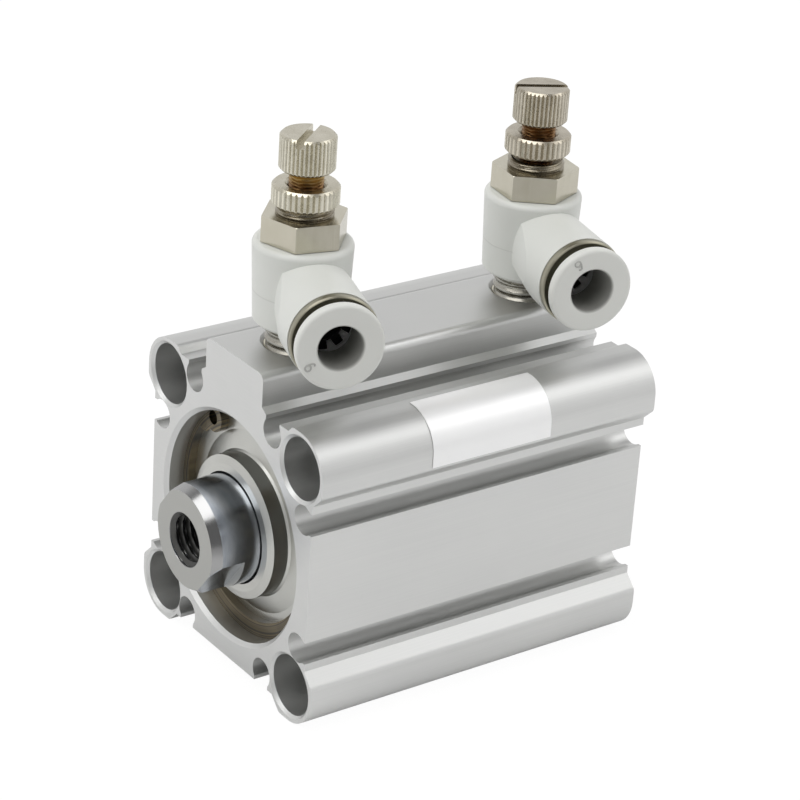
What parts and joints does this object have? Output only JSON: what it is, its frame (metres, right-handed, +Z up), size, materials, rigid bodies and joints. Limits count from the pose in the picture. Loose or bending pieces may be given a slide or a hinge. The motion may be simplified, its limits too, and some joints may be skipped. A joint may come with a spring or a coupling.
{
  "type": "compact pneumatic cylinder",
  "caption": "Compact square-bodied pneumatic cylinder with sensor slots, a female-threaded rod and swivelling elbow speed controllers on its air ports.",
  "frame": {"origin": "centre of the rod-end mounting face, on the rod axis", "axes": "-Y along the rod as it extends, +Z up towards the air ports, +X to the right seen from the rod end"},
  "size_m": [0.0451, 0.0652, 0.0809],
  "materials": {
    "anodised_aluminium": "satin clear anodised",
    "plain_aluminium": "turned",
    "chromed_steel": "ground and hard chromed",
    "phosphated_steel": "brown phosphate",
    "nitrile_rubber": "matt black",
    "magnet": "bonded ferrite, dark grey",
    "bearing_resin": "matt",
    "label_foil": "satin silver foil",
    "nickel_plated_brass": "electroless nickel plate",
    "bare_brass": "turned and threaded",
    "off_white_resin": "moulded, satin",
    "stainless_steel": "stamped"
  },
  "bodies": {
    "cylinder": {"cylinder_tube": "anodised_aluminium", "bottom_plate": "plain_aluminium", "bottom_gasket": "nitrile_rubber", "collar": "anodised_aluminium", "collar_gasket": "nitrile_rubber", "rod_seal": "nitrile_rubber", "retaining_ring": "phosphated_steel", "label": "label_foil", "front_stem": "nickel_plated_brass", "front_check_seal": "nitrile_rubber", "front_stem_oring": "nitrile_rubber", "front_needle_guide": "nickel_plated_brass", "rear_stem": "nickel_plated_brass", "rear_check_seal": "nitrile_rubber", "rear_stem_oring": "nitrile_rubber", "rear_needle_guide": "nickel_plated_brass"},
    "piston_rings": {"piston_seal": "nitrile_rubber", "wear_ring": "bearing_resin"},
    "rod": {"piston_rod": "chromed_steel", "piston": "plain_aluminium", "piston_magnet": "magnet"},
    "front_elbow": {"front_elbow_body": "off_white_resin", "front_cassette": "nickel_plated_brass", "front_chuck": "stainless_steel", "front_tube_seal": "nitrile_rubber"},
    "front_button": {"front_release_button": "off_white_resin"},
    "front_needle_carrier": {"front_needle_oring": "nitrile_rubber"},
    "front_needle_unit": {"front_needle": "bare_brass", "front_knob": "nickel_plated_brass"},
    "front_nut": {"front_lock_nut": "nickel_plated_brass"},
    "rear_elbow": {"rear_elbow_body": "off_white_resin", "rear_cassette": "nickel_plated_brass", "rear_chuck": "stainless_steel", "rear_tube_seal": "nitrile_rubber"},
    "rear_button": {"rear_release_button": "off_white_resin"},
    "rear_needle_carrier": {"rear_needle_oring": "nitrile_rubber"},
    "rear_needle_unit": {"rear_needle": "bare_brass", "rear_knob": "nickel_plated_brass"},
    "rear_nut": {"rear_lock_nut": "nickel_plated_brass"}
  },
  "joints": [
    {"name": "rod_stroke", "type": "slide", "parent": "cylinder", "child": "piston_rings", "axis": [0, -1, 0], "range_m": [0, 0.025]},
    {"name": "rod_spin", "type": "hinge", "parent": "piston_rings", "child": "rod", "pos_m": [0, 0, 0], "axis": [0, -1, 0], "continuous": true},
    {"name": "front_elbow_swivel", "type": "hinge", "parent": "cylinder", "child": "front_elbow", "pos_m": [0, 0.0105, 0.03515], "axis": [0, 0, 1], "range_deg": [-180, 60]},
    {"name": "front_button_press", "type": "slide", "parent": "front_elbow", "child": "front_button", "axis": [-0.9483, 0.3173, 0], "range_m": [0, 0.001], "stiffness_N_per_m": 150},
    {"name": "front_needle_rise", "type": "slide", "parent": "cylinder", "child": "front_needle_carrier", "axis": [0, 0, 1], "range_m": [-0.0015, 0.002]},
    {"name": "front_needle_turn", "type": "hinge", "parent": "front_needle_carrier", "child": "front_needle_unit", "pos_m": [0, 0.0105, 0.045], "axis": [0, 0, 1], "range_deg": [-1081, 1441]},
    {"name": "front_lock_nut_turn", "type": "hinge", "parent": "cylinder", "child": "front_nut", "pos_m": [0, 0.0105, 0.049], "axis": [0, 0, 1], "range_deg": [0, 360]},
    {"name": "rear_elbow_swivel", "type": "hinge", "parent": "cylinder", "child": "rear_elbow", "pos_m": [0, 0.0505, 0.03515], "axis": [0, 0, 1], "range_deg": [-60, 180]},
    {"name": "rear_button_press", "type": "slide", "parent": "rear_elbow", "child": "rear_button", "axis": [-0.9774, 0.2113, 0], "range_m": [0, 0.001], "stiffness_N_per_m": 150},
    {"name": "rear_needle_rise", "type": "slide", "parent": "cylinder", "child": "rear_needle_carrier", "axis": [0, 0, 1], "range_m": [-0.0015, 0.0015]},
    {"name": "rear_needle_turn", "type": "hinge", "parent": "rear_needle_carrier", "child": "rear_needle_unit", "pos_m": [0, 0.0505, 0.045], "axis": [0, 0, 1], "range_deg": [-1081, 1081]},
    {"name": "rear_lock_nut_turn", "type": "hinge", "parent": "cylinder", "child": "rear_nut", "pos_m": [0, 0.0505, 0.049], "axis": [0, 0, 1], "range_deg": [-360, 360]}
  ],
  "couplings": [
    {"joint": "front_needle_turn", "follows": "front_needle_rise", "rad_per_m": 12566},
    {"joint": "rear_needle_turn", "follows": "rear_needle_rise", "rad_per_m": 12566}
  ]
}
